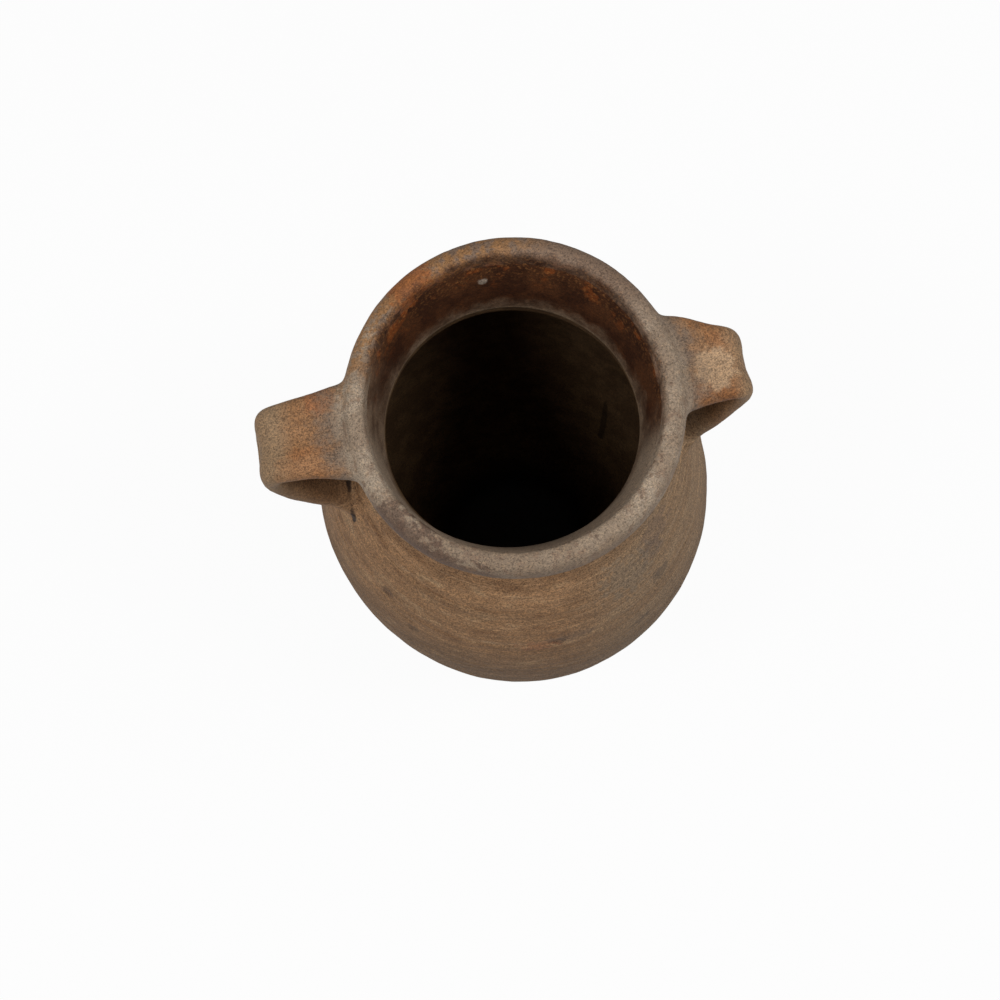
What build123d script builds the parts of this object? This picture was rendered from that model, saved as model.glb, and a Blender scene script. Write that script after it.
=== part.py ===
"""Two-handled storage jar (amphora), thrown in sections and luted together, with two strap handles.

Millimetres, +Z up. The origin is the centre of the flat underside, and the handles stand along X.
The jar is built as a potter builds it: a slab base, two thrown wall sections, a neck and a rolled rim,
each seated on the last by a V-shaped slip joint. Two strap handles run from the rim to the shoulder,
with a collar of soft clay pressed round each end, and a coat of glaze lines the inside.
"""

import os
from math import sqrt

from build123d import *

# Body: each height is measured from the piece below, each radius to the outside of the clay.
base_thickness = 13.0
base_edge_round = 3.0
foot_radius = 57.0
lower_wall_height = 183.0
belly_radius = 106.0
shoulder_height = 132.0
body_wall = 9.5

# Neck: the throat is the narrowest ring of the mouth, and the neck is slightly waisted outside.
neck_height = 32.0
neck_wall = 10.0
neck_waist = 1.5
throat_radius = 61.0
throat_top_above_shoulder = 10.0

# Rim: a thick rolled band, widest near its lower edge.
rim_height = 20.0
rim_overhang = 12.5
rim_edge_height = 6.0
rim_top_inset = 5.5
mouth_flare = 7.0
rim_edge_round = 3.5
rim_outer_round = 6.5
rim_inner_round = 4.5

# Slip joints between the sections.
slip_joint_depth = 4.0
slip_joint_width = 5.0

# Coat of glaze inside, from the floor to just under the rim's inner edge.
glaze_thickness = 0.8
glaze_below_rim_top = 6.0
glaze_pool_radius = 9.0

# Strap handles: the reach is from the rim's edge to the outside of the strap.
handle_reach = {"left_handle": 38.5, "right_handle": 33.0}
handle_swing = 3.6
handle_root_below_top = 13.0
handle_drop = 82.0
strap_width = 41.0
strap_thickness = 11.0
strap_edge_round = 4.8
strap_groove_depth = 1.5
strap_groove_width = 25.0
strap_root_fall = 1.5
strap_crook_radius = 14.0
strap_heel_inset = 4.0
strap_heel_height = 34.0
strap_heel_radius = 32.0
strap_buried_length = 12.0

# Collars of soft clay: how far each covers the strap, and how fast it widens back towards the wall.
collar_length = 13.0
collar_side_flare = 0.50
collar_thickness_flare = 0.17
collar_lip = 0.8
collar_edge_round = 5.5

# Levels and radii that follow from the sizes above.
belly_z = base_thickness + lower_wall_height
shoulder_z = belly_z + shoulder_height
neck_z = shoulder_z + neck_height
top_z = neck_z + rim_height
rim_edge_z = neck_z + rim_edge_height
neck_radius = throat_radius + neck_wall
rim_radius = neck_radius + rim_overhang
mouth_radius = throat_radius + mouth_flare
throat_top_z = shoulder_z + throat_top_above_shoulder


def arc_radius(widening, rise):
    """Radius of an arc that is upright at the belly and closes in by widening over rise."""
    return (widening**2 + rise**2) / (2 * widening)


lower_arc = arc_radius(belly_radius - foot_radius, lower_wall_height)
upper_arc = arc_radius(belly_radius - neck_radius, shoulder_height)


def body_radius(z, depth=0.0, arc=None):
    """Radius of the body at height z, depth inside its outer face."""
    if arc is None:
        arc = lower_arc if z < belly_z else upper_arc
    return belly_radius - arc + sqrt((arc - depth) ** 2 - (z - belly_z) ** 2)


def body_height(radius, depth=0.0):
    """Height above the belly at which the body, depth inside its outer face, has closed in to radius."""
    return belly_z + sqrt((upper_arc - depth) ** 2 - (radius - belly_radius + upper_arc) ** 2)


def body_curve(z_from, z_to, depth=0.0):
    """The body's outline between two heights on one side of the belly."""
    z_middle = (z_from + z_to) / 2
    arc = lower_arc if z_middle < belly_z else upper_arc
    points = [(body_radius(z, depth, arc), z) for z in (z_from, z_middle, z_to)]
    return ThreePointArc(*points)


def corners_at(section, z):
    """The section's corners at height z, from the axis outwards."""
    corners = [corner for corner in section.vertices() if abs(corner.Y - z) < 1e-6]
    return sorted(corners, key=lambda corner: corner.X)


def outer_section():
    """Half section of the whole jar, as if it were solid clay."""
    rim_top_radius = rim_radius - rim_top_inset
    waist_point = (neck_radius - neck_waist, (shoulder_z + neck_z) / 2)
    section = make_face(
        [
            Line((0, 0), (foot_radius, 0)),
            Line((foot_radius, 0), (foot_radius, base_thickness)),
            body_curve(base_thickness, belly_z),
            body_curve(belly_z, shoulder_z),
            ThreePointArc((neck_radius, shoulder_z), waist_point, (neck_radius, neck_z)),
            Line((neck_radius, neck_z), (rim_radius, rim_edge_z)),
            Line((rim_radius, rim_edge_z), (rim_top_radius, top_z)),
            Line((rim_top_radius, top_z), (0, top_z)),
            Line((0, top_z), (0, 0)),
        ]
    )
    section = fillet(corners_at(section, 0)[-1], base_edge_round)
    section = fillet(corners_at(section, rim_edge_z)[-1], rim_edge_round)
    return fillet(corners_at(section, top_z)[-1], rim_outer_round)


def hollow_section(coat=0.0):
    """Half section of the hollow, made smaller all round by a coat."""
    depth = body_wall + coat
    floor_z = base_thickness + coat
    throat = throat_radius - coat
    throat_z = body_height(throat, depth)
    mouth = mouth_radius - coat
    return make_face(
        [
            Line((0, floor_z), (body_radius(floor_z, depth), floor_z)),
            body_curve(floor_z, belly_z, depth),
            body_curve(belly_z, throat_z, depth),
            Line((throat, throat_z), (throat, throat_top_z)),
            Line((throat, throat_top_z), (mouth, top_z)),
            Line((mouth, top_z), (0, top_z)),
            Line((0, top_z), (0, floor_z)),
        ]
    )


def band(z_low, z_high):
    """The strip of a half section between two heights."""
    width = belly_radius + rim_radius
    return Pos(width / 2, (z_low + z_high) / 2) * Rectangle(width, z_high - z_low)


def slip_key(radius, z):
    """The V along a section's lower edge, pressed into the one beneath it."""
    half = slip_joint_width / 2
    tip = (radius, z - slip_joint_depth)
    return make_face(Polyline((radius - half, z), tip, (radius + half, z), close=True))


def turned(section):
    """A half section turned once round the jar's axis."""
    return revolve(Plane.XZ * section, Axis.Z)


def thrown_sections():
    """The base, the two wall sections, the neck and the rim, parted at the slip joints."""
    wall = outer_section() - hollow_section()
    wall = fillet(corners_at(wall, top_z)[0], rim_inner_round)
    inner_radius_at_rim = throat_radius + mouth_flare * (neck_z - throat_top_z) / (top_z - throat_top_z)
    seams = {
        base_thickness: foot_radius - body_wall / 2,
        belly_z: belly_radius - body_wall / 2,
        shoulder_z: throat_radius + neck_wall / 2,
        neck_z: (inner_radius_at_rim + neck_radius) / 2,
    }
    names = ["base_disc", "lower_body", "upper_body", "neck_collar", "rim"]
    levels = [0.0, *seams, top_z]
    pieces = {}
    for name, low, high in zip(names, levels[:-1], levels[1:]):
        section = wall & band(low, high)
        if low in seams:
            section = section + slip_key(seams[low], low)
        if high in seams:
            section = section - slip_key(seams[high], high)
        pieces[name] = turned(section)
    return pieces


def glaze_coat():
    """The coat of glaze inside, pooled in the corner of the floor."""
    space = hollow_section(glaze_thickness)
    space = fillet(corners_at(space, base_thickness + glaze_thickness)[-1], glaze_pool_radius)
    coat = (hollow_section() - space) & band(0, top_z - glaze_below_rim_top)
    return turned(coat)


def strap_route(reach):
    """Centre line of a strap: out from the rim, over a sharp crook, down, and in to the shoulder."""
    root_z = top_z - handle_root_below_top
    foot_z = root_z - handle_drop
    crook_x = rim_radius + reach - strap_thickness / 2
    root = (rim_radius - strap_buried_length, 0, root_z)
    crook = (crook_x, 0, root_z - strap_root_fall)
    heel = (crook_x - strap_heel_inset, 0, foot_z + strap_heel_height)
    foot = (body_radius(foot_z) - strap_buried_length, 0, foot_z)
    return FilletPolyline(root, crook, heel, foot, radius=[strap_crook_radius, strap_heel_radius])


def across(route, share):
    """The plane square to a strap's route, with its Y towards the outside of the handle."""
    return Plane(origin=route @ share, x_dir=(0, 1, 0), z_dir=route % share)


def rounded_band(width, thickness, edge_round):
    """A flat band with rounded edges, whose rounding is limited by its thickness."""
    return RectangleRounded(width, thickness, min(edge_round, 0.48 * thickness))


def strap_section():
    """Across a strap: rounded edges and a shallow finger groove along the outer face."""
    groove_radius = arc_radius(strap_groove_depth, strap_groove_width / 2)
    groove_centre = strap_thickness / 2 - strap_groove_depth + groove_radius
    band_of_clay = rounded_band(strap_width, strap_thickness, strap_edge_round)
    return band_of_clay - Pos(0, groove_centre) * Circle(groove_radius)


def strap(route):
    return sweep(across(route, 0) * strap_section(), path=route)


def collar_section(distance):
    """Across a collar, at a distance from the end where it thins out on the strap."""
    width = strap_width + 2 * (collar_lip + collar_side_flare * distance)
    thickness = strap_thickness + 2 * (collar_lip + collar_thickness_flare * distance)
    return rounded_band(width, thickness, collar_edge_round)


def collar(route, end):
    """A collar from the strap's buried end (0 is the rim's, 1 the shoulder's) to where it thins out."""
    length = strap_buried_length + collar_length
    thin_share = abs(end - length / route.length)
    buried_section = across(route, end) * collar_section(length)
    thin_section = across(route, thin_share) * collar_section(0)
    return loft([buried_section, thin_section])


def handles(solid_jar):
    """Both strap handles and their collars, each seated on the outside of the jar."""
    pieces = {}
    turns = {"left_handle": 180 - handle_swing, "right_handle": handle_swing}
    for name, turn in turns.items():
        route = strap_route(handle_reach[name])
        bare_strap = strap(route)
        upright = {
            name: bare_strap,
            f"{name}_rim_collar": collar(route, 0) - bare_strap,
            f"{name}_shoulder_collar": collar(route, 1) - bare_strap,
        }
        for piece_name, piece in upright.items():
            pieces[piece_name] = Rot(0, 0, turn) * piece - solid_jar
    return pieces


def main():
    os.makedirs("parts", exist_ok=True)
    pieces = thrown_sections()
    pieces["glaze_lining"] = glaze_coat()
    pieces.update(handles(turned(outer_section())))
    for name, piece in pieces.items():
        export_step(piece, f"parts/{name}.step")


main()
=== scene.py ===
from math import cos, pi, radians, sin, sqrt

import bpy
import numpy as np
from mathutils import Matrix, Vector


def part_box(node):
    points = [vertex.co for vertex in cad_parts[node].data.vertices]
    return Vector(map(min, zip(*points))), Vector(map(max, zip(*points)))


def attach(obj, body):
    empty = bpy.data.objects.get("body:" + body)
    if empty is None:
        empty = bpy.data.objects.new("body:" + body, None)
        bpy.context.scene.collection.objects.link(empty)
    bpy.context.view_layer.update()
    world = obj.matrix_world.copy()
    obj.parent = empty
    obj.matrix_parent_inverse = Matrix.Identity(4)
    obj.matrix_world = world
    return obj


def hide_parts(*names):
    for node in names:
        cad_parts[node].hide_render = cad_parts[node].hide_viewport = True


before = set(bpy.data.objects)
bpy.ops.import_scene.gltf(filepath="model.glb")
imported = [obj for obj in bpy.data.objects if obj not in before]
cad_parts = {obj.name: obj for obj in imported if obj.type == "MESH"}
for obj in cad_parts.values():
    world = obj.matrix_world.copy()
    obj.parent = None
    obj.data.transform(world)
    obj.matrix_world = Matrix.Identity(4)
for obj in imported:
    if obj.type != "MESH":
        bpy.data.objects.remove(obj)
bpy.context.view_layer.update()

MM = 0.001

# ---------------------------------------------------------------- sizes, in metres
# Levels and radii of the jar, from its thrown sections.
FOOT_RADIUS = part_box("base_disc")[1].x
BASE_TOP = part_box("base_disc")[1].z
BELLY_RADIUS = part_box("lower_body")[1].x
BELLY_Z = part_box("lower_body")[1].z
SHOULDER_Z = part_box("upper_body")[1].z
NECK_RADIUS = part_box("neck_collar")[1].x
NECK_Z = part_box("neck_collar")[1].z
RIM_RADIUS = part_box("rim")[1].x
TOP_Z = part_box("rim")[1].z

WALL = 9.5 * MM
NECK_WALL = 9.3 * MM
MOUTH_FLARE = 9.3 * MM
FLOOR_Z = BASE_TOP
THROAT_RADIUS = NECK_RADIUS - NECK_WALL
THROAT_LIP_Z = SHOULDER_Z + 5 * MM
CREST_RADIUS = THROAT_RADIUS + MOUTH_FLARE
FUNNEL_TOP_RADIUS = CREST_RADIUS - 1.7 * MM
FUNNEL_TOP_Z = TOP_Z - 9.5 * MM
GLAZE_THICKNESS = 0.8 * MM
GLAZE_TOP_Z = TOP_Z - 6 * MM

# The strap handles lie in upright planes that swing a little towards +Y from the X axis.
HANDLE_TURN = {"right": radians(2.6), "left": pi - radians(0.8)}
COLLAR_LENGTH = 13 * MM
HANDLE_MIDDLE_Z = 340 * MM
HANDLE_FOOT_Z = 294 * MM

# Well clear of the jar, to the sides and above.
CLEAR = 200 * MM
ABOVE_Z = 400 * MM

# Mesh fineness.
WHEEL_STEPS = 96
RING_GAP = 4.5 * MM
CLAY_GRID = 1.2 * MM
SMOOTH_UNDER = radians(35)
WELD_GAP = 0.01 * MM


# ---------------------------------------------------------------- hand tools
def deselect():
    if bpy.context.object and bpy.context.object.mode != "OBJECT":
        bpy.ops.object.mode_set(mode="OBJECT")
    bpy.ops.object.select_all(action="DESELECT")


def pick(*pieces):
    """Selects these pieces alone, the first one active."""
    deselect()
    for piece in pieces:
        piece.select_set(True)
    bpy.context.view_layer.objects.active = pieces[0]


def add_object(name, data):
    thing = bpy.data.objects.new(name, data)
    bpy.context.scene.collection.objects.link(thing)
    return thing


def copy_of(piece, name):
    twin = piece.copy()
    twin.data = piece.data.copy()
    twin.name = twin.data.name = name
    bpy.context.scene.collection.objects.link(twin)
    return twin


def discard(*pieces):
    for piece in pieces:
        bpy.data.objects.remove(piece)


def edit(piece, select="SELECT"):
    """Opens a piece in edit mode with all of its mesh selected, or none of it."""
    pick(piece)
    bpy.ops.object.mode_set(mode="EDIT")
    bpy.ops.mesh.select_all(action=select)


def weld():
    """Merges what lies together in the piece being edited, faces it outwards and closes edit mode."""
    bpy.ops.mesh.select_all(action="SELECT")
    bpy.ops.mesh.remove_doubles(threshold=WELD_GAP)
    bpy.ops.mesh.normals_make_consistent(inside=False)
    bpy.ops.object.mode_set(mode="OBJECT")


def finish_with(piece, kind, **settings):
    """Adds one modifier to a piece and applies it."""
    pick(piece)
    bpy.ops.object.modifier_add(type=kind)
    modifier = piece.modifiers[-1]
    for key, value in settings.items():
        setattr(modifier, key, value)
    bpy.ops.object.modifier_apply(modifier=modifier.name)
    return piece


def carve(piece, tool, operation):
    return finish_with(piece, "BOOLEAN", object=tool, operation=operation, solver="MANIFOLD")


def vertices_of(piece):
    flat = np.empty(len(piece.data.vertices) * 3)
    piece.data.vertices.foreach_get("co", flat)
    return flat.reshape(-1, 3)


def put_vertices(piece, places):
    piece.data.vertices.foreach_set("co", places.astype(np.float32).ravel())
    piece.data.update()


def normals_of(piece):
    flat = np.empty(len(piece.data.vertices) * 3)
    piece.data.vertices.foreach_get("normal", flat)
    return flat.reshape(-1, 3)


def fade(values, start, end):
    """0 before start and 1 past end, with a smooth slope between them. start may be the larger."""
    share = np.clip((np.asarray(values) - start) / (end - start), 0, 1)
    return share * share * (3 - 2 * share)


# ---------------------------------------------------------------- thrown shapes
def arc_radius(widening, rise):
    return (widening**2 + rise**2) / (2 * widening)


LOWER_ARC = arc_radius(BELLY_RADIUS - FOOT_RADIUS, BELLY_Z - BASE_TOP)
UPPER_ARC = arc_radius(BELLY_RADIUS - NECK_RADIUS, SHOULDER_Z - BELLY_Z)


def body_radius(z, depth=0.0):
    """Radius of the body at height z, depth inside its outer face."""
    arc = LOWER_ARC if z < BELLY_Z else UPPER_ARC
    return BELLY_RADIUS - arc + sqrt((arc - depth) ** 2 - (z - BELLY_Z) ** 2)


def wall_radius(heights):
    """Radius of the body's outer face beside each of many places."""
    return np.array([body_radius(z) for z in np.clip(heights, BASE_TOP, SHOULDER_Z)])


def levels(z_from, z_to, gap):
    count = max(1, round(abs(z_to - z_from) / gap))
    return [z_from + (z_to - z_from) * i / count for i in range(count + 1)]


def turn_on_wheel(name, outline, steps=WHEEL_STEPS, smoothing=2):
    """Turns an outline of (radius, height) points once round the jar's axis and smooths it."""
    deselect()
    radius, height = outline[0]
    bpy.ops.mesh.primitive_plane_add(size=MM, location=(radius, 0, height))
    piece = bpy.context.object
    piece.name = piece.data.name = name
    bpy.ops.object.transform_apply(location=True)
    edit(piece)
    bpy.ops.mesh.merge(type="CENTER")
    for (r_from, z_from), (r_to, z_to) in zip(outline[:-1], outline[1:]):
        step = (r_to - r_from, 0, z_to - z_from)
        bpy.ops.mesh.extrude_region_move(TRANSFORM_OT_translate={"value": step})
    bpy.ops.mesh.select_all(action="SELECT")
    bpy.ops.mesh.remove_doubles(threshold=WELD_GAP)
    bpy.ops.mesh.spin(steps=steps, angle=2 * pi, center=(0, 0, 0), axis=(0, 0, 1))
    weld()
    if smoothing:
        finish_with(piece, "SUBSURF", levels=smoothing, render_levels=smoothing)
    return piece


def around(centre_radius, centre_z, offsets):
    """Outline points given as offsets in millimetres from one place."""
    return [(centre_radius + r * MM, centre_z + z * MM) for r, z in offsets]


# Outlines in millimetres: the waisted neck, the rolled rim's outside, and its lip from the crest inwards.
NECK_WAIST = [(0.2, 1.5), (-1.0, 6), (-1.5, 11), (-1.6, 16), (-1.4, 21), (-0.6, 26), (0.8, 30)]
RIM_BULGE = [(-8.5, 1.0), (-4.4, 2.2), (-1.7, 3.6), (-0.6, 6.6), (-0.7, 10.0), (-1.2, 13.6)]
RIM_LIP = [(9.2, -2.6), (6.4, -0.4), (3.2, 0.4), (0.4, 0.0), (-0.8, -2.0), (-1.2, -5.2)]


def funnel_radius(z):
    """Radius of the mouth's funnel, which opens out from the throat's lip to the rim's inner edge."""
    share = (z - THROAT_LIP_Z) / (FUNNEL_TOP_Z - THROAT_LIP_Z)
    return THROAT_RADIUS + (FUNNEL_TOP_RADIUS - THROAT_RADIUS) * max(share, 0) ** 1.2


def outer_clay():
    """The whole jar as solid clay, with the funnel of its mouth but no hollow."""
    outline = around(0, 0, [(0, 1.2), (22, 1.2), (40, 1.0), (49, 0.4), (52, 0.0), (55, 0.0)])
    outline += around(FOOT_RADIUS, 0, [(-0.3, 0.3), (0.2, 3), (0, 8)])
    outline += [(body_radius(z), z) for z in levels(BASE_TOP, SHOULDER_Z - 3 * MM, RING_GAP)]
    outline += around(NECK_RADIUS, SHOULDER_Z, NECK_WAIST)
    outline += around(RIM_RADIUS, NECK_Z, RIM_BULGE)
    outline += around(CREST_RADIUS, TOP_Z, RIM_LIP)
    outline += [(funnel_radius(z), z) for z in levels(FUNNEL_TOP_Z, THROAT_LIP_Z, RING_GAP)]
    outline += around(THROAT_RADIUS, THROAT_LIP_Z, [(0, -2.5), (-4, -4.5)])
    outline.append((0, THROAT_LIP_Z - 4.5 * MM))
    return turn_on_wheel("outer_clay", outline)


def inner_wall(depth, floor_z):
    """Outline up the inside of the body, from the middle of the floor to below the throat."""
    corner = [(0, 0), (24, 0), (36, 0.4), (43, 3.5), (47, 8)]
    heights = levels(floor_z + 16 * MM, SHOULDER_Z - 4 * MM, 12 * MM)
    return around(0, floor_z, corner) + [(body_radius(z, depth), z) for z in heights]


def hollow():
    """The space inside the body, up to the underside of the throat's lip."""
    outline = inner_wall(WALL, FLOOR_Z + 0.8 * MM)
    outline += around(THROAT_RADIUS, THROAT_LIP_Z, [(1.4, -5), (1.2, -1), (1.2, 0), (0.8, 0), (-6, 0)])
    outline.append((0, THROAT_LIP_Z))
    return turn_on_wheel("hollow", outline, steps=128, smoothing=1)


def glaze_coat():
    """The coat of glaze inside, pooled in the corner of the floor and feathered out under the rim."""
    coat = inner_wall(WALL + GLAZE_THICKNESS, FLOOR_Z + 1.4 * MM)
    lip = [(0.3, -5), (-0.1, -2), (-0.4, -0.6), (-0.5, 0), (-0.5, 0.6)]
    coat += around(THROAT_RADIUS, THROAT_LIP_Z, lip)
    heights = levels(THROAT_LIP_Z + 2.5 * MM, GLAZE_TOP_Z - 6 * MM, 4 * MM)
    coat += [(funnel_radius(z) - 0.5 * MM, z) for z in heights]
    feathered = [(0.35, GLAZE_TOP_Z - 3 * MM), (-0.1, GLAZE_TOP_Z)]
    coat += [(funnel_radius(z) - thickness * MM, z) for thickness, z in feathered]
    back = [(funnel_radius(z) + 0.5 * MM, z) for z in reversed(heights)]
    back += around(THROAT_RADIUS, THROAT_LIP_Z, [(0.7, 0.8), (1.6, -2)])
    back += reversed(inner_wall(WALL - 0.4 * MM, FLOOR_Z + 0.3 * MM))
    lining = turn_on_wheel("glaze_coat", coat + back, steps=128, smoothing=1)
    press(lining, [(GLAZE_DROP, 2.2, 0.9)])
    return lining


def jar_envelope(name, swell, z_low, z_high):
    """The jar's outside between two levels, a little swollen: a plain solid to part the handles with."""
    outside = [(body_radius(z), z) for z in levels(BASE_TOP, SHOULDER_Z - 3 * MM, 8 * MM)]
    outside += [(NECK_RADIUS, z) for z in (SHOULDER_Z + 4 * MM, NECK_Z - 3 * MM)]
    outside += around(RIM_RADIUS, NECK_Z, [(-3.0, 2.0), (0.3, 6.6), (0.3, 60)])
    radii, heights = zip(*outside)
    kept = [z_low] + [z for z in heights if z_low < z < z_high] + [z_high]
    outline = [(float(np.interp(z, heights, radii)) + swell, z) for z in kept]
    return turn_on_wheel(name, [(0, z_low)] + outline + [(0, z_high)], smoothing=0)


# ---------------------------------------------------------------- strap handles
def strap_curve(name, kind, points, cyclic=False):
    """A smooth curve through given control points of (x, y, z, relative size)."""
    data = bpy.data.curves.new(name, "CURVE")
    data.dimensions = kind
    spline = data.splines.new("NURBS")
    spline.points.add(len(points) - 1)
    for point, (x, y, z, size) in zip(spline.points, points):
        point.co = (x, y, z, 1)
        point.radius = size
    spline.use_cyclic_u = cyclic
    spline.use_endpoint_u = not cyclic
    spline.order_u = 4 if cyclic else 3
    spline.resolution_u = 12
    return add_object(name, data)


STRAP_WIDTH = 40 * MM
STRAP_THICKNESS = 11 * MM
# Radius, height and relative size along a strap, from inside the rim to inside the wall.
STRAP_ROUTES = {
    "left": [
        (72, 367, 1.0), (82, 368, 0.98), (92, 369, 0.96), (104, 368.6, 0.94),
        (118.2, 366.6, 0.92), (120.2, 354, 0.89), (117.5, 338, 0.89), (109, 320, 0.92),
        (97, 305, 0.96), (85, 293, 1.0), (72, 282, 1.02),
    ],
    "right": [
        (72, 367, 1.02), (80, 368, 1.0), (88, 368, 0.98), (100, 367, 0.93),
        (108.6, 364.8, 0.88), (110, 353, 0.82), (107, 338, 0.78), (101, 321, 0.80),
        (93, 306, 0.86), (83, 294, 0.94), (71, 283, 1.02),
    ],
}
# Which point of a route stands at the strap's outer corner.
CORNER = 4
# How far each strap's end at the rim stands to the far side of its plane.
ROOT_SHIFT = {"left": 0.0, "right": 4.2 * MM}


def strap_profile():
    """Across the strap: rounded edges, a flat inner face and a shallow groove in the outer one."""
    half, thick = STRAP_WIDTH / 2, STRAP_THICKNESS / 2
    outer_half = [(0.98, 0.9), (0.66, 1.12), (0.34, 0.86)]
    inner_half = [(-1.08, -0.2), (-0.96, -1.0), (-0.5, -1.06)]
    outer_face = outer_half + [(0, 0.66)] + [(-x, y) for x, y in reversed(outer_half)]
    inner_face = inner_half + [(0, -1.0)] + [(-x, y) for x, y in reversed(inner_half)]
    points = [(x * half, y * thick, 0, 1) for x, y in outer_face + inner_face]
    return strap_curve("strap_profile", "2D", points, cyclic=True)


def splay(piece, centre, reach, width_factor, shift=0.0):
    """Widens and shifts one end of a strap smoothly, as clay is spread where it is pressed on."""
    edit(piece, select="DESELECT")
    bpy.ops.object.mode_set(mode="OBJECT")
    distances = np.linalg.norm((vertices_of(piece) - centre)[:, ::2], axis=1)
    piece.data.vertices.foreach_set("select", distances < distances.min() + 8 * MM)
    bpy.ops.object.mode_set(mode="EDIT")
    bpy.ops.transform.resize(
        value=(1, width_factor, 1), center_override=centre, use_proportional_edit=True,
        proportional_edit_falloff="SMOOTH", proportional_size=reach,
    )
    bpy.ops.transform.translate(
        value=(0, shift, 0), use_proportional_edit=True,
        proportional_edit_falloff="SMOOTH", proportional_size=1.5 * reach,
    )
    bpy.ops.object.mode_set(mode="OBJECT")


def strap(side):
    """A strap bent along its route in the XZ plane, splayed at both ends and swung into place."""
    route = [(r * MM, 0, z * MM, size) for r, z, size in STRAP_ROUTES[side]]
    path = strap_curve(f"{side}_strap", "3D", route)
    profile = strap_profile()
    path.data.bevel_mode = "OBJECT"
    path.data.bevel_object = profile
    path.data.use_fill_caps = True
    path.data.twist_mode = "Z_UP"
    pick(path)
    bpy.ops.object.convert(target="MESH")
    piece = bpy.context.object
    discard(profile)
    edit(piece)
    weld()
    splay(piece, Vector(route[0][:3]), 24 * MM, 1.18, ROOT_SHIFT[side])
    splay(piece, Vector(route[-1][:3]), 26 * MM, 1.35)
    piece.rotation_euler = (0, 0, HANDLE_TURN[side])
    bpy.ops.object.transform_apply(rotation=True)
    return piece


# ---------------------------------------------------------------- working the clay
def cut_level(piece, z, keep_above):
    """Cuts a solid piece at a level and caps the cut."""
    edit(piece)
    bpy.ops.mesh.bisect(
        plane_co=(0, 0, z), plane_no=(0, 0, 1), use_fill=True,
        clear_inner=keep_above, clear_outer=not keep_above,
    )
    bpy.ops.object.mode_set(mode="OBJECT")
    return piece


def block(z_low, z_high, x_low=-CLEAR, x_high=CLEAR):
    """A plain block round the jar between two levels, to part pieces with."""
    deselect()
    bpy.ops.mesh.primitive_cube_add(size=1, location=((x_low + x_high) / 2, 0, (z_low + z_high) / 2))
    tool = bpy.context.object
    tool.scale = (x_high - x_low, 2 * CLEAR, z_high - z_low)
    bpy.ops.object.transform_apply(location=True, scale=True)
    return tool


def part_of(piece, name, tool, keep_tool=False):
    """A new piece: what of this piece lies inside the tool."""
    share = carve(copy_of(piece, name), tool, "INTERSECT")
    if not keep_tool:
        discard(tool)
    return share


WEIGHT_STEPS = 24


def weights(piece, name, values):
    """Adds a vertex group whose weights are given by an array, in even steps."""
    group = piece.vertex_groups.new(name=name)
    steps = np.round(np.clip(values, 0, 1) * WEIGHT_STEPS).astype(int)
    for step in range(1, WEIGHT_STEPS + 1):
        group.add(np.flatnonzero(steps == step).tolist(), step / WEIGHT_STEPS, "REPLACE")


def handle_side(places, side):
    """Distance along a handle's direction from the axis, and across it."""
    turn = HANDLE_TURN[side]
    along = places[:, 0] * cos(turn) + places[:, 1] * sin(turn)
    across = places[:, 1] * cos(turn) - places[:, 0] * sin(turn)
    return along, across * (1 if side == "right" else -1)


def lute(piece):
    """Smooths the clay where each strap meets the rim and the shoulder, and rounds the straps' corners."""
    places = vertices_of(piece)
    height = places[:, 2]
    radius = np.hypot(places[:, 0], places[:, 1])
    off_wall = radius - wall_radius(height)
    soft = np.zeros(len(places))
    corner = np.zeros(len(places))
    for side in ("left", "right"):
        along, across = handle_side(places, side)
        near = (along > 0) * (1 - fade(abs(across), 34 * MM, 44 * MM))
        rim_joint = fade(radius, RIM_RADIUS - 5 * MM, RIM_RADIUS)
        rim_joint = rim_joint * (1 - fade(radius, RIM_RADIUS + 8 * MM, RIM_RADIUS + 20 * MM))
        rim_joint = rim_joint * fade(height, NECK_Z - 20 * MM, NECK_Z - 8 * MM)
        shoulder_joint = 1 - fade(abs(height - HANDLE_FOOT_Z), 24 * MM, 34 * MM)
        shoulder_joint = shoulder_joint * (1 - fade(off_wall, 9 * MM, 20 * MM))
        soft = np.maximum(soft, near * np.maximum(rim_joint, shoulder_joint))
        reach = STRAP_ROUTES[side][CORNER][0] * MM
        turned_corner = fade(along, reach - 20 * MM, reach - 6 * MM) * fade(across, 6 * MM, 13 * MM)
        corner = np.maximum(corner, turned_corner * fade(height, 335 * MM, 352 * MM))
    for name, share, passes in (("joints", soft, 42), ("corners", corner, 76)):
        weights(piece, name, share)
        finish_with(piece, "SMOOTH", factor=0.5, iterations=passes, vertex_group=name)
        piece.vertex_groups.clear()


# Unevenness of the clay: how broad it is and how high, in millimetres.
UNEVENNESS = [(70, 1.3), (24, 0.6), (7, 0.22)]


def soft_texture(name, size):
    texture = bpy.data.textures.new(name, "CLOUDS")
    texture.noise_scale = size
    texture.noise_depth = 2
    return texture


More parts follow.
